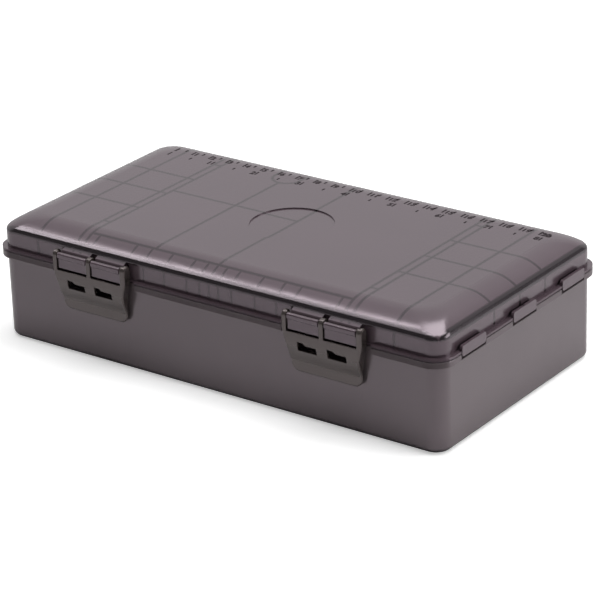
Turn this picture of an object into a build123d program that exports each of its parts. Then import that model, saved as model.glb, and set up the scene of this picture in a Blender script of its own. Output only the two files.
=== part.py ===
from build123d import *
import os
from math import asin, cos, radians, sin, tan

os.makedirs("parts", exist_ok=True)

# Moulded tackle box. X runs along its length, the latches face -Y, Z is up and the
# origin lies on the underside, in the middle of the case. All sizes are in millimetres.

# Case outline, shared by the tray and the lid
case_length = 235.4
case_width = 121.9
case_corner = 7.4
wall = 2.0
parting_height = 42.5
parting_gap = 0.4

# Tray
floor = 2.0
foot_radius = 3.0
flange_reach = 2.3
tray_flange = 2.9
lip_height = 1.4
lip_thickness = 1.1
lip_clearance = 0.3

# Lid: an upright wall, then a rolled crown up to a flat top
lid_flange = 1.0
lid_rise = 15.5
lid_top_wall = 2.0
crown_radius = 19.0
crown_sweep = 45.0
crown_corner_growth = 4.0
edge_round = 3.0
edge_steps = 3
crown_steps = 4
hidden_edge_steps = 1
hidden_crown_steps = 2
recess_radius = 19.0
recess_depth = 0.5
rib = 1.0
comb_rib = 0.8
rib_gap = 0.6

# Compartments, set out from the inside faces of the end and long walls
slotted_wall = 4.0
end_bank = 43.9
groove_depth = 1.0
divider = 1.2
fit_gap = 0.15
divider_rise = 1.2
outer_cell = 20.5
groove_pitch = 20.2
groove_count = 5
cross_divider_places = {"rear": 1, "middle": 0, "front": -1}
forked_divider_x = -34.3
fork_radius = 7.0
fork_setback = 14.65
centre_cross_y = 4.3
front_trough = 6.05
guide_width = 1.0
guide_reach = 1.0
guide_height = 34.0
lap_gap = 0.3

# Rack in the front trough, and the lid ribs above it
comb_inner_places = [0.0, 5.0, 12.0, 24.3, 35.6, 44.0]
comb_end_gap = 4.8
rack_base = 1.5
rack_fin = 1.2
rack_height = 30.0
rack_notch_width = 2.4
rack_notch_depth = 6.0

# Latches
latch_spacing = 124.6
latch_width = 40.6
latch_standoff = 5.65
latch_plate = 1.7
latch_side = 1.6
latch_tip_thickness = 1.3
latch_corner = 4.0
shoulder_top = 43.0
shoulder_bottom = 35.5
shoulder_draw = 1.8
blade_draw = 2.4
shoulder_round = 8.0
latch_edge_bevel = 0.5
knuckle_radius = 2.3
pivot_height = 48.7
pivot_pin_radius = 1.1
pivot_clearance = 0.05
blade_start = 40.0
blade_bend_radius = 22.0
blade_return_radius = 6.0
blade_slope = 26.0
latch_bottom = 23.0
window_bottom = 42.2
side_post = 2.45
middle_post = 2.1
slot_pitch = 15.2
slot_width = 9.6
slot_bottom = 34.2
slot_height = 3.0
slot_step_width = 2.9
slot_step_height = 1.1
slot_step_slope = 1.3
nose_height = 0.9
nose_drop = 0.3

# Latch lugs on the lid, and the flange cut back behind each latch
lug_side_gap = 0.55
lug_bottom = 43.1
lug_top = 50.3
lug_bar_top = 51.4
lug_bar_front = 50.5
lug_mouth = 1.8
lug_lead_in = 0.4
lug_round = 1.0
pad_roll = 2.3
pad_recess = 0.7
relief_side = 2.4
relief_lip = 0.7
relief_corner = 0.6

# Locating tabs on the lid's short ends, and their notches in the tray's flange
tab_pitch = 39.5
tab_count = 3
tab_width = 18.0
tab_bottom = 41.4
tab_top = 46.2
tab_thickness = 1.4
tab_proud = 0.3
tab_corner = 1.2
tab_clearance = 0.3
tab_ledge = 0.7

# Rear hinges
hinge_pitch = 78.0
hinge_places = {"left": -1, "middle": 0, "right": 1}
hinge_clearance = 0.35
hinge_radius = 2.6
hinge_pin_radius = 1.25
hinge_pin_clearance = 0.05
hinge_pin_inset = 0.4
tray_knuckle = 6.0
lid_knuckle = 14.0
knuckle_gap = 0.4
hinge_web = 1.5

# Places that follow from the sizes above
half_length = case_length / 2
half_width = case_width / 2
inner_x = half_length - wall
inner_y = half_width - wall
slotted_wall_x = inner_x - end_bank
bank_divider_x = inner_x - outer_cell
fork_centre_y = inner_y - fork_setback
front_rail_y = front_trough - inner_y
lid_bottom = parting_height + parting_gap
lid_top = parting_height + lid_rise
rebate_inset = wall - lip_thickness - lip_clearance
crown_run = crown_radius * sin(radians(crown_sweep))
crown_drop = crown_radius * (1 - cos(radians(crown_sweep)))
divider_top = parting_height + divider_rise
rib_bottom = divider_top + rib_gap
slotted_face = slotted_wall_x - slotted_wall / 2
slotted_back = slotted_wall_x + slotted_wall / 2
comb_places = comb_inner_places + [slotted_face - comb_end_gap]
groove_width = divider + 2 * fit_gap
lap_height = (floor + divider_top) / 2
latch_front_y = -(half_width + latch_standoff)
pivot_y = latch_front_y + knuckle_radius
latch_back_y = pivot_y + knuckle_radius
hinge_y = half_width + flange_reach + hinge_clearance + hinge_radius
hinge_z = parting_height + parting_gap / 2


def slab(inset, bottom, top):
    """A plate with the case's rounded outline, set in from its outside walls."""
    outline = RectangleRounded(case_length - 2 * inset, case_width - 2 * inset, case_corner - inset)
    return Pos(0, 0, bottom) * extrude(outline, top - bottom)


def block(x_range, y_range, z_range):
    """A box between two corners."""
    low = [min(span) for span in (x_range, y_range, z_range)]
    size = [max(span) - min(span) for span in (x_range, y_range, z_range)]
    return Pos(*low) * Box(*size, align=(Align.MIN, Align.MIN, Align.MIN))


def along_x(profile, x_start, x_end):
    """A Y-Z profile drawn out along X."""
    return Pos(x_start, 0, 0) * extrude(Plane.YZ * profile, x_end - x_start)


def rod_x(radius, y, z, x_start, x_end):
    """A round bar along X."""
    return along_x(Pos(y, z) * Circle(radius), x_start, x_end)


def groove_places():
    """Y of each divider position along the case's ends."""
    first = -(groove_count - 1) / 2
    return [groove_pitch * (first + step) for step in range(groove_count)]


def crowned_block(inset, bottom, edge_height, top, facets=False):
    """The lid's form: upright walls, a small rounded edge and the rolled crown."""
    sweep = radians(crown_sweep)
    edge_low = edge_height - edge_round * tan(sweep / 2)
    edge_stations = []
    steps = hidden_edge_steps if facets else edge_steps
    for step in range(steps + 1):
        angle = sweep * step / steps
        edge_stations.append((edge_round * (1 - cos(angle)), edge_low + edge_round * sin(angle)))
    first_angle = asin(sin(sweep) - edge_stations[-1][0] / crown_radius)
    crown_stations = [edge_stations[-1]]
    steps = hidden_crown_steps if facets else crown_steps
    for step in range(1, steps + 1):
        angle = first_angle * (1 - step / steps)
        crown_stations.append((crown_run - crown_radius * sin(angle),
                               top - crown_radius * (1 - cos(angle))))
    return (slab(inset, bottom, edge_low) + rolled_band(inset, edge_stations, facets)
            + rolled_band(inset, crown_stations, facets))


def rolled_band(inset, stations, facets):
    """A band through outlines that draw in by each run at each height, smooth or in facets."""
    sections = []
    for run, height in stations:
        length = case_length - 2 * (inset + run)
        width = case_width - 2 * (inset + run)
        corner = case_corner - inset + crown_corner_growth * run / crown_run
        sections.append(Pos(0, 0, height) * RectangleRounded(length, width, corner))
    return loft(sections, ruled=facets)


def fork_outline(thickness):
    """Plan of the divider that ends in a round-fronted pocket at the rear wall."""
    outer = fork_radius + thickness / 2
    inner = fork_radius - thickness / 2
    rear = inner_y - fit_gap
    arm = rear - fork_centre_y
    ring = Circle(outer) - Circle(inner)
    ring &= Pos(0, -outer / 2) * Rectangle(2 * outer, outer)
    arms = [Pos(side * fork_radius, arm / 2) * Rectangle(thickness, arm) for side in (-1, 1)]
    front = front_rail_y + divider / 2 + fit_gap
    stem = fork_centre_y - fork_radius - front
    tail = Pos(0, -fork_radius - stem / 2) * Rectangle(thickness, stem)
    return Pos(forked_divider_x, fork_centre_y) * (ring + arms[0] + arms[1] + tail)


def flange_relief(bottom, top):
    """Where the flange is cut back to a narrow lip behind each latch."""
    half = latch_width / 2 + relief_side
    cut_back = half_width + relief_lip
    depth = 2 * flange_reach
    cuts = []
    for side in (-1, 1):
        window = RectangleRounded(2 * half, depth, relief_corner)
        window = Pos(side * latch_spacing / 2, -(cut_back + depth / 2), bottom) * window
        cuts.append(extrude(window, top - bottom))
    return cuts


def base_tray():
    """Open tray with its flange, lip, slotted walls, guides and hinge knuckles."""
    shell = slab(0, 0, parting_height)
    shell = fillet(shell.faces().sort_by(Axis.Z)[0].edges(), foot_radius)
    shell += slab(-flange_reach, parting_height - tray_flange, parting_height)
    shell -= flange_relief(parting_height - 2 * tray_flange, parting_height + 1)
    lip_outer = wall - lip_thickness
    shell += slab(lip_outer, parting_height - lip_height, parting_height + lip_height)
    tray = shell - slab(wall, floor, parting_height + 2 * lip_height)

    for side in (-1, 1):
        place = side * slotted_wall_x
        slotted = block((place - slotted_wall / 2, place + slotted_wall / 2),
                        (-inner_y, inner_y), (floor, divider_top))
        for y in groove_places():
            outer_face = side * slotted_back
            slotted -= block((outer_face - side * groove_depth, outer_face + side),
                             (y - groove_width / 2, y + groove_width / 2), (floor, divider_top + 1))
        inner_face = side * slotted_face
        centre_grooves = [front_rail_y] if side > 0 else [front_rail_y, centre_cross_y]
        for y in centre_grooves:
            slotted -= block((inner_face - side, inner_face + side * groove_depth),
                             (y - groove_width / 2, y + groove_width / 2), (floor, divider_top + 1))
        tray += slotted

    guides = []
    guide_inside = groove_width / 2
    guide_outside = guide_inside + guide_width
    for flank in (-1, 1):
        for side in (-1, 1):
            for y in groove_places():
                guides.append(block((side * (inner_x - guide_reach), side * inner_x),
                                    (y + flank * guide_inside, y + flank * guide_outside),
                                    (floor, guide_height)))
            x = side * bank_divider_x
            for wall_side in (-1, 1):
                guides.append(block((x + flank * guide_inside, x + flank * guide_outside),
                                    (wall_side * (inner_y - guide_reach), wall_side * inner_y),
                                    (floor, guide_height)))
            arm_x = forked_divider_x + side * fork_radius
            guides.append(block((arm_x + flank * guide_inside, arm_x + flank * guide_outside),
                                (inner_y - guide_reach, inner_y), (floor, guide_height)))
        guides.append(block((flank * guide_inside, flank * guide_outside),
                            (inner_y - guide_reach, inner_y), (floor, guide_height)))
    tray += guides

    notch_inside = half_length + flange_reach + tab_proud - tab_thickness - tab_clearance
    notch_half = tab_width / 2 + tab_clearance
    notch_floor = parting_height - tray_flange + tab_ledge
    for side in (-1, 1):
        for y in tab_places():
            tray -= block((side * notch_inside, side * (half_length + 2 * flange_reach)),
                          (y - notch_half, y + notch_half), (notch_floor, parting_height + 1))

    for place in hinge_places.values():
        centre = place * hinge_pitch
        for side in (-1, 1):
            near = centre + side * (lid_knuckle / 2 + knuckle_gap)
            far = near + side * tray_knuckle
            span = (min(near, far), max(near, far))
            web = block(span, (half_width - 0.5 * wall, hinge_y),
                        (parting_height - tray_flange, parting_height))
            tray += web + rod_x(hinge_radius, hinge_y, hinge_z, *span)
            tray -= rod_x(hinge_pin_radius + hinge_pin_clearance, hinge_y, hinge_z, *span)
    return tray


def tab_places():
    """Y of each locating tab along the lid's short ends."""
    first = -(tab_count - 1) / 2
    return [tab_pitch * (first + step) for step in range(tab_count)]


def lid_ribs():
    """Rib plates under the lid, each above a wall or divider of the tray."""
    low, high = rib_bottom, lid_top
    plates = []
    for side in (-1, 1):
        x = side * bank_divider_x
        plates.append(block((x - rib / 2, x + rib / 2), (-half_width, half_width), (low, high)))
        for x in (side * slotted_face, side * slotted_back):
            plates.append(block((x - rib / 2, x + rib / 2), (-half_width, half_width), (low, high)))
        for step in cross_divider_places.values():
            y = step * groove_pitch
            plates.append(block((side * slotted_back, side * half_length),
                                (y - rib / 2, y + rib / 2), (low, high)))
        for y in groove_places():
            plates.append(block((side * slotted_face, side * slotted_back),
                                (y - rib / 2, y + rib / 2), (low, high)))
    plates.append(block((-rib / 2, rib / 2), (front_rail_y, half_width), (low, high)))
    plates.append(block((-slotted_face, 0), (centre_cross_y - rib / 2, centre_cross_y + rib / 2),
                        (low, high)))
    plates.append(block((-slotted_face, slotted_face), (front_rail_y - rib / 2, front_rail_y + rib / 2),
                        (low, high)))
    plates.append(Pos(0, 0, low) * extrude(fork_outline(rib), high - low))
    for place in comb_places:
        for x in sorted({-place, place}):
            plates.append(block((x - comb_rib / 2, x + comb_rib / 2), (-half_width, front_rail_y),
                                (low, high)))
    return plates


def latch_lug(x_start, x_end):
    """Trough-shaped lug: its front is the pad seen in the latch's window."""
    anchor_y = rebate_inset - half_width
    panel_y = latch_front_y + pad_recess
    roll_bottom = lug_top - pad_roll
    mouth_y = pivot_y + lug_mouth / 2
    lead_bottom = pivot_height + pivot_pin_radius
    outline = Polyline((anchor_y, lug_bar_top), (-half_width, lug_bar_top),
                       (mouth_y + lug_lead_in, lug_bar_front), (mouth_y, lead_bottom),
                       (pivot_y, lead_bottom), (pivot_y, lug_top),
                       (latch_front_y + lug_round, lug_top))
    outline += RadiusArc((latch_front_y + lug_round, lug_top), (latch_front_y, lug_top - lug_round),
                         -lug_round)
    outline += Polyline((latch_front_y, lug_top - lug_round), (latch_front_y, roll_bottom),
                        (panel_y, roll_bottom - pad_recess), (panel_y, lug_bottom),
                        (anchor_y, lug_bottom), (anchor_y, lug_bar_top))
    lug = along_x(make_face(outline), x_start, x_end)
    lug -= rod_x(pivot_pin_radius + pivot_clearance, pivot_y, pivot_height, x_start, x_end)
    lug -= block((x_start, x_end), (pivot_y - lug_mouth / 2, pivot_y + lug_mouth / 2),
                 (pivot_height, lug_bar_top))
    return lug


def latch_windows():
    """X ranges of a latch's two windows, from its middle."""
    near = middle_post / 2
    far = latch_width / 2 - side_post
    return [(-far, -near), (near, far)]


def lid():
    """Crowned lid with its flange, ribs, latch lugs, locating tabs and hinge knuckles."""
    edge_height = lid_top - crown_drop
    outside = crowned_block(0, lid_bottom, edge_height, lid_top)
    outside += slab(-flange_reach, lid_bottom, lid_bottom + lid_flange)
    outside -= flange_relief(lid_bottom - lid_flange, lid_bottom + 2 * lid_flange)
    hollow = crowned_block(wall, lid_bottom, edge_height - lid_top_wall, lid_top - lid_top_wall,
                           facets=True)
    shell = outside - hollow
    shell -= slab(rebate_inset, lid_bottom, lid_bottom + lip_height)

    rib_space = crowned_block(wall / 2, rib_bottom, edge_height - lid_top_wall / 2,
                              lid_top - lid_top_wall / 2, facets=True)
    plates = Part() + lid_ribs()
    shell += plates & rib_space
    shell -= Pos(0, 0, lid_top - recess_depth) * extrude(Circle(recess_radius), 2 * recess_depth)

    for side in (-1, 1):
        centre = side * latch_spacing / 2
        for near, far in latch_windows():
            shell += latch_lug(centre + near + lug_side_gap, centre + far - lug_side_gap)

    tab_outside = half_length + flange_reach + tab_proud
    tab_outline = RectangleRounded(tab_width, tab_top - tab_bottom, tab_corner)
    for side in (-1, 1):
        near = min(side * tab_outside, side * (tab_outside - tab_thickness))
        for y in tab_places():
            face = Pos(y, (tab_bottom + tab_top) / 2) * tab_outline
            shell += along_x(face, near, near + tab_thickness)

    for place in hinge_places.values():
        centre = place * hinge_pitch
        span = (centre - lid_knuckle / 2, centre + lid_knuckle / 2)
        web = block(span, (half_width - rebate_inset, hinge_y), (lid_bottom, lid_bottom + hinge_web))
        shell += web + rod_x(hinge_radius, hinge_y, hinge_z, *span)
        shell -= rod_x(hinge_pin_radius + hinge_pin_clearance, hinge_y, hinge_z, *span)
    return shell


def latch_profile():
    """Side view of a latch: knuckle above, blade curling in to the wall below."""
    slope = radians(blade_slope)
    tip_y = latch_back_y - latch_tip_thickness
    bend_end = (latch_front_y + blade_bend_radius * (1 - cos(slope)),
                blade_start - blade_bend_radius * sin(slope))
    return_y = tip_y - blade_return_radius * (1 - cos(slope))
    return_start = (return_y, bend_end[1] - (return_y - bend_end[0]) / tan(slope))
    return_end = (tip_y, return_start[1] - blade_return_radius * sin(slope))
    outline = Line((latch_front_y, pivot_height), (latch_front_y, blade_start))
    outline += RadiusArc((latch_front_y, blade_start), bend_end, -blade_bend_radius)
    outline += Line(bend_end, return_start)
    outline += RadiusArc(return_start, return_end, blade_return_radius)
    outline += Polyline(return_end, (tip_y, latch_bottom), (latch_back_y, latch_bottom),
                        (latch_back_y, pivot_height))
    outline += RadiusArc((latch_back_y, pivot_height), (latch_front_y, pivot_height), -knuckle_radius)
    return make_face(outline)


def latch_pocket():
    """Side view of the hollow behind a latch's plate."""
    slope = radians(blade_slope)
    inner_radius = blade_bend_radius - latch_plate
    plate_y = latch_front_y + latch_plate
    bend_y = latch_front_y + blade_bend_radius
    bend_end = (bend_y - inner_radius * cos(slope), blade_start - inner_radius * sin(slope))
    behind = latch_back_y + knuckle_radius
    foot = (behind, bend_end[1] - (behind - bend_end[0]) / tan(slope))
    top = pivot_height + 2 * knuckle_radius
    outline = Line((plate_y, top), (plate_y, blade_start))
    outline += RadiusArc((plate_y, blade_start), bend_end, -inner_radius)
    outline += Polyline(bend_end, foot, (behind, top), (plate_y, top))
    return make_face(outline)


def latch_slot(x_start):
    """Front view of one through slot, taller at its left end."""
    top = slot_bottom + slot_height
    step_top = top + slot_step_height
    outline = Polyline((x_start, slot_bottom), (x_start + slot_width, slot_bottom),
                       (x_start + slot_width, top), (x_start + slot_step_width + slot_step_slope, top),
                       (x_start + slot_step_width, step_top), (x_start, step_top),
                       (x_start, slot_bottom))
    return make_face(outline)


def latch_rim(edge, half):
    """Whether an edge runs down the front or over the knuckle of a latch's two sides."""
    middle = edge @ 0.5
    at_side = abs(middle.X) > half - blade_draw - 0.01 and abs((edge % 0.5).X) < 0.9
    return at_side and (middle.Y < pivot_y or middle.Z > pivot_height)


def latch_outline(inset):
    """Front view of a latch, drawn in below the windows, set in from its edges."""
    half = latch_width / 2 - inset
    bottom = latch_bottom + inset
    top = pivot_height + 2 * knuckle_radius
    right = [(half, top), (half, shoulder_top), (half - shoulder_draw, shoulder_bottom),
             (half - blade_draw, bottom)]
    left = [(-x, z) for x, z in reversed(right)]
    outline = make_face(Polyline(*right, *left, right[0]))
    foot = outline.vertices().group_by(Axis.Y)[0]
    outline = fillet(foot, latch_corner - inset)
    shoulders = outline.vertices().filter_by(lambda v: shoulder_bottom - 0.1 < v.Y < shoulder_top + 0.1)
    return fillet(shoulders, shoulder_round)


def latch(centre):
    """One latch: plate, side walls, three posts, the pivot bar and two catch noses."""
    half = latch_width / 2
    body = along_x(latch_profile(), -half, half)
    body &= extrude(Plane.XZ * latch_outline(0), 3 * half_width, both=True)
    rims = body.edges().filter_by(lambda edge: latch_rim(edge, half))
    body = chamfer(rims, min(latch_edge_bevel, 0.48 * latch_tip_thickness))

    hollow = extrude(Plane.XZ * latch_outline(latch_side), 3 * half_width, both=True)
    for side in (-1, 1):
        inner, outer = side * middle_post / 2, side * half
        body -= along_x(latch_pocket(), min(inner, outer), max(inner, outer)) & hollow
    top = pivot_height + 2 * knuckle_radius
    for window in latch_windows():
        body -= block(window, (latch_front_y - 1, latch_back_y + 1), (window_bottom, top))
    body += rod_x(pivot_pin_radius, pivot_y, pivot_height, side_post / 2 - half, half - side_post / 2)

    nose_top = parting_height - tray_flange - nose_drop
    for side in (-1, 1):
        x_start = side * slot_pitch / 2 - slot_width / 2
        slot = Plane.XZ * latch_slot(x_start)
        cutter = Pos(0, latch_front_y + 1.5 * latch_plate, 0) * extrude(slot, 3 * latch_plate)
        body -= cutter
        body += block((x_start, x_start + slot_width),
                      (latch_front_y + latch_plate / 2, latch_back_y), (nose_top - nose_height, nose_top))
    return Pos(centre, 0, 0) * body


def bank_divider(side):
    """Long divider across one end bank, slotted from above for the cross dividers."""
    x = side * bank_divider_x
    end = inner_y - fit_gap
    plate = block((x - divider / 2, x + divider / 2), (-end, end), (floor, divider_top))
    for step in cross_divider_places.values():
        y = step * groove_pitch
        plate -= block((x - divider, x + divider), (y - groove_width / 2, y + groove_width / 2),
                       (lap_height - lap_gap / 2, divider_top + 1))
    return plate


def cross_divider(side, step):
    """Short divider from an end wall to a slotted wall, slotted from below."""
    y = step * groove_pitch
    near = side * (slotted_back - groove_depth + fit_gap)
    far = side * (inner_x - fit_gap)
    plate = block((near, far), (y - divider / 2, y + divider / 2), (floor, divider_top))
    x = side * bank_divider_x
    plate -= block((x - groove_width / 2, x + groove_width / 2), (y - divider, y + divider),
                   (floor - 1, lap_height + lap_gap / 2))
    return plate


def centre_divider():
    """Plain divider from the front rail to the rear wall."""
    front = front_rail_y + divider / 2 + fit_gap
    return block((-divider / 2, divider / 2), (front, inner_y - fit_gap), (floor, divider_top))


def forked_divider():
    """Divider whose rear end opens into a round-fronted pocket."""
    body = Pos(0, 0, floor) * extrude(fork_outline(divider), divider_top - floor)
    return body - block((forked_divider_x - divider, forked_divider_x + divider),
                        (centre_cross_y - groove_width / 2, centre_cross_y + groove_width / 2),
                        (lap_height - lap_gap / 2, divider_top + 1))


def centre_cross_divider():
    """Cross divider of the middle bank, lapped over the forked divider."""
    near = -(slotted_face + groove_depth - fit_gap)
    far = -(divider / 2 + fit_gap)
    plate = block((near, far), (centre_cross_y - divider / 2, centre_cross_y + divider / 2),
                  (floor, divider_top))
    x = forked_divider_x
    return plate - block((x - groove_width / 2, x + groove_width / 2),
                         (centre_cross_y - divider, centre_cross_y + divider),
                         (floor - 1, lap_height + lap_gap / 2))


def front_rail():
    """Long rail that parts the narrow front trough from the middle bank."""
    end = slotted_face + groove_depth - fit_gap
    return block((-end, end), (front_rail_y - divider / 2, front_rail_y + divider / 2),
                 (floor, divider_top))


def needle_rack():
    """Comb in the front trough; needles and small tools lie in the notches of its fins."""
    y_range = (-inner_y + fit_gap, front_rail_y - divider / 2 - fit_gap)
    end = slotted_face - fit_gap
    rack = block((-end, end), y_range, (floor, floor + rack_base))
    middle = sum(y_range) / 2
    for place in comb_places:
        for x in sorted({-place, place}):
            fin = block((x - rack_fin / 2, x + rack_fin / 2), y_range, (floor, floor + rack_height))
            fin -= block((x - rack_fin, x + rack_fin),
                         (middle - rack_notch_width / 2, middle + rack_notch_width / 2),
                         (floor + rack_height - rack_notch_depth, floor + rack_height + 1))
            rack += fin
    return rack


def hinge_pin(place):
    """Plain steel pin of one rear hinge."""
    half = lid_knuckle / 2 + knuckle_gap + tray_knuckle - hinge_pin_inset
    centre = place * hinge_pitch
    return rod_x(hinge_pin_radius, hinge_y, hinge_z, centre - half, centre + half)


parts = {
    "base_tray": base_tray(),
    "lid": lid(),
    "latch_left": latch(-latch_spacing / 2),
    "latch_right": latch(latch_spacing / 2),
    "centre_divider": centre_divider(),
    "forked_divider": forked_divider(),
    "centre_cross_divider": centre_cross_divider(),
    "front_rail": front_rail(),
    "needle_rack": needle_rack(),
}
for place_name, place in hinge_places.items():
    parts["hinge_pin_" + place_name] = hinge_pin(place)
for side_name, side in (("left", -1), ("right", 1)):
    parts["bank_divider_" + side_name] = bank_divider(side)
    for step_name, step in cross_divider_places.items():
        parts[f"cross_divider_{side_name}_{step_name}"] = cross_divider(side, step)

for name, part in parts.items():
    export_step(part, f"parts/{name}.step")
    print(name, round(part.volume, 1), "mm3,", len(part.solids()), "solid")
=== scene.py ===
import bpy
from mathutils import Matrix, Vector


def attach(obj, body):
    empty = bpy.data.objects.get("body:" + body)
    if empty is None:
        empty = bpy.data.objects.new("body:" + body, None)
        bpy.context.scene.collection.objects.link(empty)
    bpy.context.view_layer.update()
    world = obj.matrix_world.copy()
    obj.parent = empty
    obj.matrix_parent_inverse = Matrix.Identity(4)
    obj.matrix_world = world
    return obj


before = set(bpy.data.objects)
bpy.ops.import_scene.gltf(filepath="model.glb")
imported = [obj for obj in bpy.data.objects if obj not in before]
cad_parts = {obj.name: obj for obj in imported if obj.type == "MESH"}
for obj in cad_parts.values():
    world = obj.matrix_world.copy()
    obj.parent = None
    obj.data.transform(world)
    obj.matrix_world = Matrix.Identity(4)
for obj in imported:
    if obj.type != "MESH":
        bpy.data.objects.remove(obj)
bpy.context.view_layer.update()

# Camera. It stands in front of the case, to the right and a little above it, where the
# photograph was taken. Its three axes and its distance come from the outline of the case.
camera_data = bpy.data.cameras.new("camera")
camera_data.sensor_width = 36.0
camera_data.lens = 172.7
camera_data.clip_start, camera_data.clip_end = 0.05, 20.0
camera = bpy.data.objects.new("camera", camera_data)
bpy.context.scene.collection.objects.link(camera)
camera_right = Vector((0.81131, 0.58379, -0.03088))
camera_up = Vector((-0.20963, 0.33983, 0.91682))
camera_back = Vector((0.54573, -0.73736, 0.39809))
camera_place = Vector((0.7013, -0.9434, 0.5313))
turn = Matrix((camera_right, camera_up, camera_back)).transposed().to_4x4()
camera.matrix_world = Matrix.Translation(camera_place) @ turn
bpy.context.scene.camera = camera
bpy.context.scene.view_settings.view_transform = "Standard"

# Studio. A pale floor under a white surround, with a broad soft lamp overhead, a weaker one
# beyond the right end and a narrow strip lamp high on the left. In front of the case the room
# is dark, and the glossy plastic mirrors that below the lid's rounded edge.
floor_size, floor_drop = 6.0, 0.0002
floor_grey, floor_roughness, floor_brighter = 0.92, 0.9, 0.50
bpy.ops.object.select_all(action="DESELECT")
bpy.ops.mesh.primitive_plane_add(size=floor_size, location=(0, 0, -floor_drop))
floor = bpy.context.object
floor.name = "studio_floor"
floor_material = bpy.data.materials.new("studio_floor")
floor_material.use_nodes = True
floor_nodes, floor_links = floor_material.node_tree.nodes, floor_material.node_tree.links
floor_shader = floor_nodes["Principled BSDF"]
floor_shader.inputs["Base Color"].default_value = (floor_grey, floor_grey, floor_grey, 1)
floor_shader.inputs["Roughness"].default_value = floor_roughness
floor_glow = floor_nodes.new("ShaderNodeEmission")
floor_glow.inputs["Color"].default_value = (1, 1, 1, 1)
floor_ray = floor_nodes.new("ShaderNodeLightPath")
floor_lift = floor_nodes.new("ShaderNodeMath")
floor_lift.operation = "MULTIPLY"
floor_lift.inputs[1].default_value = floor_brighter
floor_sum = floor_nodes.new("ShaderNodeAddShader")
floor_links.new(floor_ray.outputs["Is Camera Ray"], floor_lift.inputs[0])
floor_links.new(floor_lift.outputs[0], floor_glow.inputs["Strength"])
floor_links.new(floor_shader.outputs[0], floor_sum.inputs[0])
floor_links.new(floor_glow.outputs[0], floor_sum.inputs[1])
floor_links.new(floor_sum.outputs[0], floor_nodes["Material Output"].inputs["Surface"])
floor.data.materials.append(floor_material)

# The world lights the case weakly. Seen directly it is white, and a glossy surface sees it
# white too, except for the dark side of the room.
world_level, seen_level, dark_share = 0.05, 1.0, -0.78
dark_side = (0.75, -0.66, 0.0)
dark_side_from, dark_side_to = -0.38, -0.22
dark_height_from, dark_height_to = 0.80, 0.92
world = bpy.data.worlds.new("studio_world")
bpy.context.scene.world = world
world.use_nodes = True
world_nodes, world_links = world.node_tree.nodes, world.node_tree.links
world_light = world_nodes["Background"]
world_light.inputs["Color"].default_value = (1, 1, 1, 1)
world_light.inputs["Strength"].default_value = world_level
world_seen = world_nodes.new("ShaderNodeBackground")
world_seen.inputs["Color"].default_value = (1, 1, 1, 1)
world_seen.inputs["Strength"].default_value = seen_level
world_ray = world_nodes.new("ShaderNodeLightPath")
world_place = world_nodes.new("ShaderNodeTexCoord")
world_axes = world_nodes.new("ShaderNodeSeparateXYZ")
world_links.new(world_place.outputs["Generated"], world_axes.inputs[0])
room_side = world_nodes.new("ShaderNodeVectorMath")
room_side.operation = "DOT_PRODUCT"
room_side.inputs[1].default_value = dark_side
world_links.new(world_place.outputs["Generated"], room_side.inputs[0])
room_front = world_nodes.new("ShaderNodeMapRange")
room_front.interpolation_type = "SMOOTHSTEP"
room_front.inputs["From Min"].default_value = dark_side_from
room_front.inputs["From Max"].default_value = dark_side_to
world_links.new(room_side.outputs["Value"], room_front.inputs["Value"])
room_low = world_nodes.new("ShaderNodeMapRange")
room_low.interpolation_type = "SMOOTHSTEP"
room_low.inputs["From Min"].default_value = dark_height_from
room_low.inputs["From Max"].default_value = dark_height_to
room_low.inputs["To Min"].default_value = 1.0
room_low.inputs["To Max"].default_value = 0.0
world_links.new(world_axes.outputs["Z"], room_low.inputs["Value"])
room_dark = world_nodes.new("ShaderNodeMath")
room_dark.operation = "MULTIPLY"
world_links.new(room_front.outputs["Result"], room_dark.inputs[0])
world_links.new(room_low.outputs["Result"], room_dark.inputs[1])
room_level = world_nodes.new("ShaderNodeMath")
room_level.operation = "MULTIPLY_ADD"
room_level.inputs[1].default_value = dark_share
room_level.inputs[2].default_value = seen_level
world_links.new(room_dark.outputs[0], room_level.inputs[0])
room_seen = world_nodes.new("ShaderNodeBackground")
world_links.new(room_level.outputs[0], room_seen.inputs["Strength"])
glossy_mix = world_nodes.new("ShaderNodeMixShader")
world_links.new(world_ray.outputs["Is Glossy Ray"], glossy_mix.inputs["Fac"])
world_links.new(world_light.outputs[0], glossy_mix.inputs[1])
world_links.new(room_seen.outputs[0], glossy_mix.inputs[2])
camera_or_clear = world_nodes.new("ShaderNodeMath")
camera_or_clear.operation = "MAXIMUM"
world_links.new(world_ray.outputs["Is Camera Ray"], camera_or_clear.inputs[0])
world_links.new(world_ray.outputs["Is Transmission Ray"], camera_or_clear.inputs[1])
world_mix = world_nodes.new("ShaderNodeMixShader")
world_links.new(camera_or_clear.outputs[0], world_mix.inputs["Fac"])
world_links.new(glossy_mix.outputs[0], world_mix.inputs[1])
world_links.new(world_seen.outputs[0], world_mix.inputs[2])
world_links.new(world_mix.outputs[0], world_nodes["World Output"].inputs["Surface"])

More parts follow.
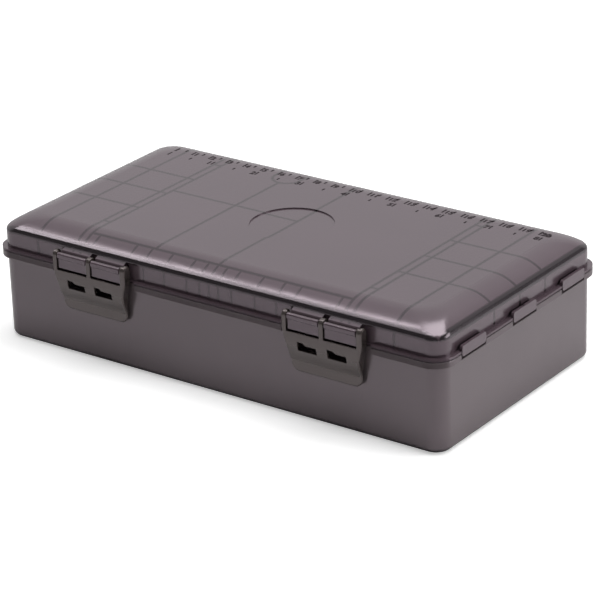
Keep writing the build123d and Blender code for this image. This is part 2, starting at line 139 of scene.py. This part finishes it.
# each lamp's name, place, two sides and power; it faces the middle of the case's underside
studio_lamps = [
    ("overhead_lamp", (0.16, 0.25, 1.45), 1.2, 1.2, 20.0),
    ("right_lamp", (1.7, 0.9, 0.7), 1.1, 1.1, 15.0),
    ("strip_lamp", (-0.68, -0.19, 1.21), 0.08, 0.75, 2.5),
]
for lamp_name, lamp_place, lamp_width, lamp_height, lamp_power in studio_lamps:
    lamp_data = bpy.data.lights.new(lamp_name, "AREA")
    lamp_data.shape = "RECTANGLE"
    lamp_data.size = lamp_width
    lamp_data.size_y = lamp_height
    lamp_data.energy = lamp_power
    lamp = bpy.data.objects.new(lamp_name, lamp_data)
    bpy.context.scene.collection.objects.link(lamp)
    lamp.location = lamp_place
    lamp.rotation_mode = "QUATERNION"
    lamp.rotation_quaternion = Vector(lamp_place).to_track_quat("Z", "Y")

# Base tray. Injection-moulded smoke plastic, satin outside, with its flange, slotted walls
# and hinge knuckles in one piece. It stands on its flat underside.
cloud_scale, cloud_detail = 22.0, 3.0
grain_scale, grain_detail = 1400.0, 2.0
gloss_swing = 0.12
moulded = bpy.data.node_groups.new("moulded_surface", "ShaderNodeTree")
for socket_name, socket_type, socket_value in (
        ("Base", "NodeSocketColor", (0.2, 0.2, 0.2, 1)),
        ("Mottle", "NodeSocketFloat", 0.08),
        ("Gloss", "NodeSocketFloat", 0.3)):
    socket = moulded.interface.new_socket(name=socket_name, in_out="INPUT",
                                          socket_type=socket_type)
    socket.default_value = socket_value
for socket_name, socket_type in (("Color", "NodeSocketColor"), ("Roughness", "NodeSocketFloat"),
                                 ("Height", "NodeSocketFloat")):
    moulded.interface.new_socket(name=socket_name, in_out="OUTPUT", socket_type=socket_type)
group_in = moulded.nodes.new("NodeGroupInput")
group_out = moulded.nodes.new("NodeGroupOutput")
place = moulded.nodes.new("ShaderNodeTexCoord")
clouds = moulded.nodes.new("ShaderNodeTexNoise")
clouds.inputs["Scale"].default_value = cloud_scale
clouds.inputs["Detail"].default_value = cloud_detail
grain = moulded.nodes.new("ShaderNodeTexNoise")
grain.inputs["Scale"].default_value = grain_scale
grain.inputs["Detail"].default_value = grain_detail
moulded.links.new(place.outputs["Object"], clouds.inputs["Vector"])
moulded.links.new(place.outputs["Object"], grain.inputs["Vector"])
centred = moulded.nodes.new("ShaderNodeMath")
centred.operation = "SUBTRACT"
centred.inputs[1].default_value = 0.5
moulded.links.new(clouds.outputs["Fac"], centred.inputs[0])
mottle = moulded.nodes.new("ShaderNodeMath")
mottle.operation = "MULTIPLY_ADD"
mottle.inputs[2].default_value = 1.0
moulded.links.new(centred.outputs[0], mottle.inputs[0])
moulded.links.new(group_in.outputs["Mottle"], mottle.inputs[1])
tinted = moulded.nodes.new("ShaderNodeVectorMath")
tinted.operation = "SCALE"
moulded.links.new(group_in.outputs["Base"], tinted.inputs[0])
moulded.links.new(mottle.outputs[0], tinted.inputs["Scale"])
moulded.links.new(tinted.outputs[0], group_out.inputs["Color"])
worn = moulded.nodes.new("ShaderNodeMath")
worn.operation = "MULTIPLY_ADD"
worn.inputs[1].default_value = gloss_swing
moulded.links.new(centred.outputs[0], worn.inputs[0])
moulded.links.new(group_in.outputs["Gloss"], worn.inputs[2])
moulded.links.new(worn.outputs[0], group_out.inputs["Roughness"])
moulded.links.new(grain.outputs["Fac"], group_out.inputs["Height"])


gloss_level, gloss_tint = 1.0, (1.0, 0.86, 0.95, 1.0)
grain_strength, grain_depth = 0.12, 0.00004
# painted shade in the slots: how far it reaches, how dark it gets and where it fades
crevice_reach, crevice_shade_darkest = 0.005, 0.10
crevice_from, crevice_to = 0.10, 0.55
crevice_samples, edge_samples = 8, 6


def smoke_plastic(name, colour, mottle_share, roughness, edge_radius):
    """Clouded glossy plastic with a fine grain, with painted shade in its slots, its edges eased.
    """
    material = bpy.data.materials.new(name)
    material.use_nodes = True
    nodes, links = material.node_tree.nodes, material.node_tree.links
    shader = nodes["Principled BSDF"]
    surface = nodes.new("ShaderNodeGroup")
    surface.node_tree = moulded
    surface.name = "moulded_surface"
    surface.inputs["Base"].default_value = (*colour, 1)
    surface.inputs["Mottle"].default_value = mottle_share
    surface.inputs["Gloss"].default_value = roughness
    shader.inputs["Specular IOR Level"].default_value = gloss_level
    shader.inputs["Specular Tint"].default_value = gloss_tint
    bump = nodes.new("ShaderNodeBump")
    bump.name = "grain_bump"
    bump.inputs["Strength"].default_value = grain_strength
    bump.inputs["Distance"].default_value = grain_depth
    # painted shade: the colour darkens deep in the slots and behind the lugs, where the piece
    # shades itself
    crevice_painted_shade = nodes.new("ShaderNodeAmbientOcclusion")
    crevice_painted_shade.only_local = True
    crevice_painted_shade.samples = crevice_samples
    crevice_painted_shade.inputs["Distance"].default_value = crevice_reach
    crevice_shade_level = nodes.new("ShaderNodeMapRange")
    crevice_shade_level.interpolation_type = "SMOOTHSTEP"
    crevice_shade_level.inputs["From Min"].default_value = crevice_from
    crevice_shade_level.inputs["From Max"].default_value = crevice_to
    crevice_shade_level.inputs["To Min"].default_value = crevice_shade_darkest
    shaded = nodes.new("ShaderNodeVectorMath")
    shaded.operation = "SCALE"
    shaded.name = "shaded_colour"
    links.new(crevice_painted_shade.outputs["AO"], crevice_shade_level.inputs["Value"])
    links.new(surface.outputs["Color"], shaded.inputs[0])
    links.new(crevice_shade_level.outputs["Result"], shaded.inputs["Scale"])
    links.new(shaded.outputs[0], shader.inputs["Base Color"])
    links.new(surface.outputs["Roughness"], shader.inputs["Roughness"])
    links.new(surface.outputs["Height"], bump.inputs["Height"])
    links.new(bump.outputs["Normal"], shader.inputs["Normal"])
    if edge_radius:
        eased_edge = nodes.new("ShaderNodeBevel")
        eased_edge.samples = edge_samples
        eased_edge.inputs["Radius"].default_value = edge_radius
        links.new(eased_edge.outputs["Normal"], bump.inputs["Normal"])
    return material


def lean_faces(material, low, high, slope, reach_x, reach_y):
    """Tilt the upright faces between two heights, as the mould's draft does."""
    nodes, links = material.node_tree.nodes, material.node_tree.links
    place = nodes.new("ShaderNodeTexCoord")
    axes = nodes.new("ShaderNodeSeparateXYZ")
    links.new(place.outputs["Object"], axes.inputs[0])
    rise = nodes.new("ShaderNodeMapRange")
    rise.inputs["From Min"].default_value = low
    rise.inputs["From Max"].default_value = high
    rise.inputs["To Max"].default_value = (high - low) * slope
    links.new(axes.outputs["Z"], rise.inputs["Value"])
    height = rise.outputs["Result"]
    for axis, reach in (("X", reach_x), ("Y", reach_y)):
        size = nodes.new("ShaderNodeMath")
        size.operation = "ABSOLUTE"
        links.new(axes.outputs[axis], size.inputs[0])
        near = nodes.new("ShaderNodeMath")
        near.operation = "LESS_THAN"
        near.inputs[1].default_value = reach
        links.new(size.outputs[0], near.inputs[0])
        kept = nodes.new("ShaderNodeMath")
        kept.operation = "MULTIPLY"
        links.new(height, kept.inputs[0])
        links.new(near.outputs[0], kept.inputs[1])
        height = kept.outputs[0]
    leaning = nodes.new("ShaderNodeBump")
    leaning.inputs["Strength"].default_value = 1.0
    leaning.inputs["Distance"].default_value = 1.0
    links.new(height, leaning.inputs["Height"])
    grain_bump = nodes["grain_bump"]
    if grain_bump.inputs["Normal"].links:
        links.new(grain_bump.inputs["Normal"].links[0].from_socket, leaning.inputs["Normal"])
    links.new(leaning.outputs["Normal"], grain_bump.inputs["Normal"])


def dress(node_name, material):
    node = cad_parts[node_name]
    node.data.materials.clear()
    node.data.materials.append(material)


case_mottle, case_roughness = 0.22, 0.21
tray_colour, tray_edge_radius = (0.098, 0.080, 0.084), 0.0007
tray_material = smoke_plastic("tray_plastic", tray_colour, case_mottle, case_roughness,
                              tray_edge_radius)
flange_reach_x, flange_reach_y = 0.1202, 0.06345
tray_flange_low, tray_flange_high, tray_flange_lean = 0.0396, 0.0423, -0.30
foot_low, foot_high, foot_lean = 0.0, 0.0013, 0.9
lean_faces(tray_material, tray_flange_low, tray_flange_high, tray_flange_lean,
           flange_reach_x, flange_reach_y)
lean_faces(tray_material, foot_low, foot_high, foot_lean, flange_reach_x, flange_reach_y)

# painted shade: the tray's colour darkens towards its lowest edge, for the dark line that its
# rounded edge shows where it meets the floor
foot_dark_to, foot_plain_from = 0.0012, 0.0028
tray_nodes, tray_links = tray_material.node_tree.nodes, tray_material.node_tree.links
tray_place = tray_nodes.new("ShaderNodeTexCoord")
tray_axes = tray_nodes.new("ShaderNodeSeparateXYZ")
tray_links.new(tray_place.outputs["Object"], tray_axes.inputs[0])
painted_foot_shade = tray_nodes.new("ShaderNodeMapRange")
painted_foot_shade.interpolation_type = "SMOOTHSTEP"
painted_foot_shade.inputs["From Min"].default_value = foot_dark_to
painted_foot_shade.inputs["From Max"].default_value = foot_plain_from
painted_foot_shade.inputs["To Min"].default_value = 0.0
tray_links.new(tray_axes.outputs["Z"], painted_foot_shade.inputs["Value"])
shaded_foot = tray_nodes.new("ShaderNodeVectorMath")
shaded_foot.operation = "SCALE"
tray_links.new(tray_nodes["shaded_colour"].outputs[0], shaded_foot.inputs[0])
tray_links.new(painted_foot_shade.outputs["Result"], shaded_foot.inputs["Scale"])
tray_links.new(shaded_foot.outputs[0], tray_nodes["Principled BSDF"].inputs["Base Color"])
dress("base_tray", tray_material)

# Lid. The same smoke plastic, thin enough that the ribs under it read as darker lines on
# its top and down its crown. The lines stand where the real ribs meet the lid.
rib_line = bpy.data.node_groups.new("rib_line", "ShaderNodeTree")
for socket_name in ("Across", "Along", "Place", "Start", "End", "Half"):
    rib_line.interface.new_socket(name=socket_name, in_out="INPUT", socket_type="NodeSocketFloat")
rib_line.interface.new_socket(name="Mask", in_out="OUTPUT", socket_type="NodeSocketFloat")
line_in = rib_line.nodes.new("NodeGroupInput")
line_out = rib_line.nodes.new("NodeGroupOutput")
offset = rib_line.nodes.new("ShaderNodeMath")
offset.operation = "SUBTRACT"
rib_line.links.new(line_in.outputs["Across"], offset.inputs[0])
rib_line.links.new(line_in.outputs["Place"], offset.inputs[1])
distance = rib_line.nodes.new("ShaderNodeMath")
distance.operation = "ABSOLUTE"
rib_line.links.new(offset.outputs[0], distance.inputs[0])
soft = rib_line.nodes.new("ShaderNodeMapRange")
soft.interpolation_type = "SMOOTHSTEP"
soft.inputs["From Min"].default_value = 0.0
soft.inputs["To Min"].default_value = 1.0
soft.inputs["To Max"].default_value = 0.0
rib_line.links.new(distance.outputs[0], soft.inputs["Value"])
rib_line.links.new(line_in.outputs["Half"], soft.inputs["From Max"])
after = rib_line.nodes.new("ShaderNodeMath")
after.operation = "GREATER_THAN"
rib_line.links.new(line_in.outputs["Along"], after.inputs[0])
rib_line.links.new(line_in.outputs["Start"], after.inputs[1])
before = rib_line.nodes.new("ShaderNodeMath")
before.operation = "LESS_THAN"
rib_line.links.new(line_in.outputs["Along"], before.inputs[0])
rib_line.links.new(line_in.outputs["End"], before.inputs[1])
within = rib_line.nodes.new("ShaderNodeMath")
within.operation = "MULTIPLY"
rib_line.links.new(after.outputs[0], within.inputs[0])
rib_line.links.new(before.outputs[0], within.inputs[1])
masked = rib_line.nodes.new("ShaderNodeMath")
masked.operation = "MULTIPLY"
rib_line.links.new(within.outputs[0], masked.inputs[0])
rib_line.links.new(soft.outputs["Result"], masked.inputs[1])
rib_line.links.new(masked.outputs[0], line_out.inputs["Mask"])

lid_colour, unbevelled = (0.078, 0.055, 0.066), 0.0
lid_material = smoke_plastic("lid_plastic", lid_colour, case_mottle, case_roughness, unbevelled)
lid_nodes, lid_links = lid_material.node_tree.nodes, lid_material.node_tree.links
lid_place = lid_nodes.new("ShaderNodeTexCoord")
lid_axes = lid_nodes.new("ShaderNodeSeparateXYZ")
lid_links.new(lid_place.outputs["Object"], lid_axes.inputs[0])
lid_side = lid_nodes.new("ShaderNodeMath")
lid_side.operation = "ABSOLUTE"
lid_links.new(lid_axes.outputs["X"], lid_side.inputs[0])
along_x, along_y, mirrored_x = lid_axes.outputs["X"], lid_axes.outputs["Y"], lid_side.outputs[0]
case_half_length, case_half_width = 0.1177, 0.06095
double_inner, double_outer, bank_rib = 0.0698, 0.0738, 0.0952
fork_x, fork_y, fork_radius = -0.0343, 0.0443, 0.0070
front_rib_y, cross_rib_y, cross_pitch = -0.0529, 0.0043, 0.0202
rib_half, comb_half, rib_end, side_end = 0.0013, 0.0010, 0.0625, 0.12
comb_places = (0.0, 0.0050, 0.0120, 0.0243, 0.0356, 0.0440, 0.0650)
rib_lines = [
    (mirrored_x, along_y, bank_rib, -rib_end, rib_end, rib_half),
    (mirrored_x, along_y, double_inner, -rib_end, rib_end, rib_half),
    (mirrored_x, along_y, double_outer, -rib_end, rib_end, rib_half),
    (along_x, along_y, 0.0, front_rib_y, rib_end, rib_half),
    (along_x, along_y, fork_x, front_rib_y, fork_y - fork_radius, rib_half),
    (along_x, along_y, fork_x - fork_radius, fork_y, rib_end, rib_half),
    (along_x, along_y, fork_x + fork_radius, fork_y, rib_end, rib_half),
    (along_y, along_x, cross_rib_y, -double_inner, 0.0, rib_half),
    (along_y, along_x, front_rib_y, -double_inner, double_inner, rib_half),
]
for cross_step in (-1, 0, 1):
    rib_lines.append((along_y, mirrored_x, cross_step * cross_pitch, double_outer, side_end,
                      rib_half))
for rung_step in (-2, -1, 0, 1, 2):
    rib_lines.append((along_y, mirrored_x, rung_step * cross_pitch, double_inner, double_outer,
                      rib_half))
for comb_place in comb_places:
    rib_lines.append((mirrored_x, along_y, comb_place, -rib_end, front_rib_y, comb_half))
lid_mask = None
for across, along, line_place, line_start, line_end, line_half in rib_lines:
    line = lid_nodes.new("ShaderNodeGroup")
    line.node_tree = rib_line
    lid_links.new(across, line.inputs["Across"])
    lid_links.new(along, line.inputs["Along"])
    for input_name, value in (("Place", line_place), ("Start", line_start), ("End", line_end),
                              ("Half", line_half)):
        line.inputs[input_name].default_value = value
    if lid_mask is None:
        lid_mask = line.outputs["Mask"]
    else:
        strongest = lid_nodes.new("ShaderNodeMath")
        strongest.operation = "MAXIMUM"
        lid_links.new(lid_mask, strongest.inputs[0])
        lid_links.new(line.outputs["Mask"], strongest.inputs[1])
        lid_mask = strongest.outputs[0]

# the half-round end of the forked rib
from_fork = lid_nodes.new("ShaderNodeVectorMath")
from_fork.operation = "DISTANCE"
flat_place = lid_nodes.new("ShaderNodeCombineXYZ")
lid_links.new(along_x, flat_place.inputs["X"])
lid_links.new(along_y, flat_place.inputs["Y"])
lid_links.new(flat_place.outputs[0], from_fork.inputs[0])
from_fork.inputs[1].default_value = (fork_x, fork_y, 0.0)
arc = lid_nodes.new("ShaderNodeGroup")
arc.node_tree = rib_line
lid_links.new(from_fork.outputs["Value"], arc.inputs["Across"])
lid_links.new(along_y, arc.inputs["Along"])
for input_name, value in (("Place", fork_radius), ("Start", 0.0), ("End", fork_y),
                          ("Half", rib_half)):
    arc.inputs[input_name].default_value = value
with_arc = lid_nodes.new("ShaderNodeMath")
with_arc.operation = "MAXIMUM"
lid_links.new(lid_mask, with_arc.inputs[0])
lid_links.new(arc.outputs["Mask"], with_arc.inputs[1])

# a band along the lid's rounded edge, darkened partly because the lid's own upright walls stand
# under it as a rib does, and partly as painted shade for the dark that the edge mirrors
wall_inset, wall_fade = 0.0026, 0.0010
wall_and_shade_low, wall_and_shade_fade = 0.0506, 0.0008
past_end = lid_nodes.new("ShaderNodeMath")
past_end.operation = "SUBTRACT"
past_end.inputs[1].default_value = case_half_length - wall_inset
lid_links.new(mirrored_x, past_end.inputs[0])
mirrored_y = lid_nodes.new("ShaderNodeMath")
mirrored_y.operation = "ABSOLUTE"
lid_links.new(along_y, mirrored_y.inputs[0])
past_side = lid_nodes.new("ShaderNodeMath")
past_side.operation = "SUBTRACT"
past_side.inputs[1].default_value = case_half_width - wall_inset
lid_links.new(mirrored_y.outputs[0], past_side.inputs[0])
past_wall = lid_nodes.new("ShaderNodeMath")
past_wall.operation = "MAXIMUM"
lid_links.new(past_end.outputs[0], past_wall.inputs[0])
lid_links.new(past_side.outputs[0], past_wall.inputs[1])
over_wall = lid_nodes.new("ShaderNodeMapRange")
over_wall.interpolation_type = "SMOOTHSTEP"
over_wall.inputs["From Min"].default_value = 0.0
over_wall.inputs["From Max"].default_value = wall_fade
lid_links.new(past_wall.outputs[0], over_wall.inputs["Value"])
wall_low = lid_nodes.new("ShaderNodeMapRange")
wall_low.interpolation_type = "SMOOTHSTEP"
wall_low.inputs["From Min"].default_value = wall_and_shade_low
wall_low.inputs["From Max"].default_value = wall_and_shade_low + wall_and_shade_fade
lid_links.new(lid_axes.outputs["Z"], wall_low.inputs["Value"])
wall_line_and_shade = lid_nodes.new("ShaderNodeMath")
wall_line_and_shade.operation = "MULTIPLY"
lid_links.new(over_wall.outputs["Result"], wall_line_and_shade.inputs[0])
lid_links.new(wall_low.outputs["Result"], wall_line_and_shade.inputs[1])
with_wall_and_shade = lid_nodes.new("ShaderNodeMath")
with_wall_and_shade.operation = "MAXIMUM"
lid_links.new(with_arc.outputs[0], with_wall_and_shade.inputs[0])
lid_links.new(wall_line_and_shade.outputs[0], with_wall_and_shade.inputs[1])

# the rib lines and the painted shade along the edge darken only what lies above the lid's flange
flange_top, flange_fade, rib_and_shade_dark = 0.0444, 0.0004, -0.92
lid_height = lid_nodes.new("ShaderNodeMapRange")
lid_height.inputs["From Min"].default_value = flange_top
lid_height.inputs["From Max"].default_value = flange_top + flange_fade
lid_links.new(lid_axes.outputs["Z"], lid_height.inputs["Value"])
shown = lid_nodes.new("ShaderNodeMath")
shown.operation = "MULTIPLY"
lid_links.new(with_wall_and_shade.outputs[0], shown.inputs[0])
lid_links.new(lid_height.outputs["Result"], shown.inputs[1])
darken = lid_nodes.new("ShaderNodeMath")
darken.operation = "MULTIPLY_ADD"
darken.inputs[1].default_value = rib_and_shade_dark
darken.inputs[2].default_value = 1.0
lid_links.new(shown.outputs[0], darken.inputs[0])
lined = lid_nodes.new("ShaderNodeVectorMath")
lined.operation = "SCALE"
lid_links.new(lid_nodes["shaded_colour"].outputs[0], lined.inputs[0])
lid_links.new(darken.outputs[0], lined.inputs["Scale"])
lid_links.new(lined.outputs[0], lid_nodes["Principled BSDF"].inputs["Base Color"])
lid_flange_low, lid_flange_high, lid_flange_lean = 0.0429, 0.0439, -0.32
lean_faces(lid_material, lid_flange_low, lid_flange_high, lid_flange_lean,
           flange_reach_x, flange_reach_y)
dress("lid", lid_material)

# Ruler. Fine dark marks along the lid's rear edge: centimetres with half-centimetre ticks
# behind, inches with half-inch ticks in front. Thin, sunk in the lid, and moving with it.
ruler_zero, ruler_top, ruler_depth = -0.1008, 0.05802, 0.0001
centimetre, inch = 0.0100, 0.0254
metric_base, imperial_base = 0.0492, 0.0398
digit_height, digit_weight, digit_gap, digit_share = 0.0031, 0.00022, 0.0008, 0.7
ruler_line, half_tick, metric_tick, imperial_tick = 0.00085, 0.0022, 0.0040, 0.0036
half_centimetres, half_inches = 41, 17
ink_colour, ink_mottle, ink_roughness = (0.050, 0.042, 0.046), 0.30, 0.6
ruler_pieces = []


def ruler_tick(x, y_low, y_high, thickness):
    bpy.ops.object.select_all(action="DESELECT")
    bpy.ops.mesh.primitive_cube_add(size=1.0, location=(x, (y_low + y_high) / 2,
                                                        ruler_top - ruler_depth / 2))
    tick = bpy.context.object
    tick.scale = (thickness, y_high - y_low, ruler_depth)
    bpy.ops.object.transform_apply(location=True, rotation=True, scale=True)
    ruler_pieces.append(tick)


def ruler_number(text, x, y, align):
    bpy.ops.object.select_all(action="DESELECT")
    bpy.ops.object.text_add(location=(0, 0, 0))
    words = bpy.context.object
    words.data.body = text
    words.data.size = digit_height / digit_share
    words.data.align_x = align
    words.data.extrude = ruler_depth / 2
    words.data.offset = digit_weight
    bpy.ops.object.convert(target="MESH")
    words = bpy.context.object
    words.data.transform(Matrix.Translation((x, y, ruler_top - ruler_depth / 2)))
    ruler_pieces.append(words)


for half_step in range(half_centimetres):
    tick_x = ruler_zero + half_step * centimetre / 2
    whole = half_step % 2 == 0
    tick_length = metric_tick if whole else half_tick
    ruler_tick(tick_x, metric_base - tick_length, metric_base, ruler_line)
    if whole and half_step:
        ruler_number(str(half_step // 2), tick_x + digit_gap, metric_base - metric_tick, "LEFT")
for half_step in range(half_inches):
    tick_x = ruler_zero + half_step * inch / 2
    whole = half_step % 2 == 0
    tick_length = imperial_tick if whole else half_tick
    ruler_tick(tick_x, imperial_base, imperial_base + tick_length, ruler_line)
    if whole and half_step:
        ruler_number(str(half_step // 2), tick_x - digit_gap, imperial_base, "RIGHT")
bpy.ops.object.select_all(action="DESELECT")
for ruler_piece in ruler_pieces:
    ruler_piece.select_set(True)
bpy.context.view_layer.objects.active = ruler_pieces[0]
bpy.ops.object.join()
ruler = bpy.context.object
ruler.name = "ruler_marks"
weld_reach = 0.000001
bpy.ops.object.mode_set(mode="EDIT")
bpy.ops.mesh.select_all(action="SELECT")
bpy.ops.mesh.remove_doubles(threshold=weld_reach)
bpy.ops.object.mode_set(mode="OBJECT")
ruler.data.materials.clear()
ruler_ink = smoke_plastic("ruler_ink", ink_colour, ink_mottle, ink_roughness, unbevelled)
ruler_ink.node_tree.nodes["Principled BSDF"].inputs["Specular IOR Level"].default_value = 0.0
ruler.data.materials.append(ruler_ink)
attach(ruler, "lid")

# Latches. Two flap latches of the same plastic, a shade darker and a little duller. Each
# turns on a bar moulded in it, held in the two troughs of the lid behind its windows.
latch_colour, latch_mottle, latch_roughness = (0.040, 0.033, 0.030), 0.20, 0.24
latch_edge_radius, latch_gloss_tint = 0.0004, (1.0, 0.86, 0.87, 1.0)
latch_material = smoke_plastic("latch_plastic", latch_colour, latch_mottle, latch_roughness,
                               latch_edge_radius)
latch_shader = latch_material.node_tree.nodes["Principled BSDF"]
latch_shader.inputs["Specular Tint"].default_value = latch_gloss_tint
for latch_name in ("latch_left", "latch_right"):
    dress(latch_name, latch_material)

# Dividers, rail and rack. Thin loose plates of the same plastic, a little darker than the
# tray, which slide into the tray's grooves and between its guides.
divider_colour, divider_mottle = (0.085, 0.073, 0.076), 0.18
divider_roughness, divider_edge_radius = 0.26, 0.0003
divider_material = smoke_plastic("divider_plastic", divider_colour, divider_mottle,
                                 divider_roughness, divider_edge_radius)
for node_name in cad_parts:
    if "divider" in node_name or node_name in ("front_rail", "needle_rack"):
        dress(node_name, divider_material)

# Hinge pins. Plain drawn steel wire pressed through the knuckles, with fine lines left by
# the die running along it.
pin_line_stretch, pin_line_detail = (40.0, 3000.0, 3000.0), 3.0
pin_dark, pin_light = (0.50, 0.50, 0.51), (0.70, 0.70, 0.71)
pin_smoothest, pin_roughest = 0.24, 0.40
pin_material = bpy.data.materials.new("pin_steel")
pin_material.use_nodes = True
pin_nodes, pin_links = pin_material.node_tree.nodes, pin_material.node_tree.links
pin_shader = pin_nodes["Principled BSDF"]
pin_shader.inputs["Metallic"].default_value = 1.0
pin_place = pin_nodes.new("ShaderNodeTexCoord")
pin_stretch = pin_nodes.new("ShaderNodeMapping")
pin_stretch.inputs["Scale"].default_value = pin_line_stretch
pin_lines = pin_nodes.new("ShaderNodeTexNoise")
pin_lines.inputs["Scale"].default_value = 1.0
pin_lines.inputs["Detail"].default_value = pin_line_detail
pin_colour = pin_nodes.new("ShaderNodeMapRange")
pin_colour.data_type = "FLOAT_VECTOR"
# its vector sockets go by number, as they share their names with the plain ones
vector_in, vector_to_min, vector_to_max, vector_out = 6, 9, 10, 1
pin_colour.inputs[vector_to_min].default_value = pin_dark
pin_colour.inputs[vector_to_max].default_value = pin_light
pin_rough = pin_nodes.new("ShaderNodeMapRange")
pin_rough.inputs["To Min"].default_value = pin_smoothest
pin_rough.inputs["To Max"].default_value = pin_roughest
pin_links.new(pin_place.outputs["Object"], pin_stretch.inputs["Vector"])
pin_links.new(pin_stretch.outputs[0], pin_lines.inputs["Vector"])
pin_links.new(pin_lines.outputs["Fac"], pin_colour.inputs[vector_in])
pin_links.new(pin_colour.outputs[vector_out], pin_shader.inputs["Base Color"])
pin_links.new(pin_lines.outputs["Fac"], pin_rough.inputs["Value"])
pin_links.new(pin_rough.outputs["Result"], pin_shader.inputs["Roughness"])
for node_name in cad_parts:
    if node_name.startswith("hinge_pin"):
        dress(node_name, pin_material)
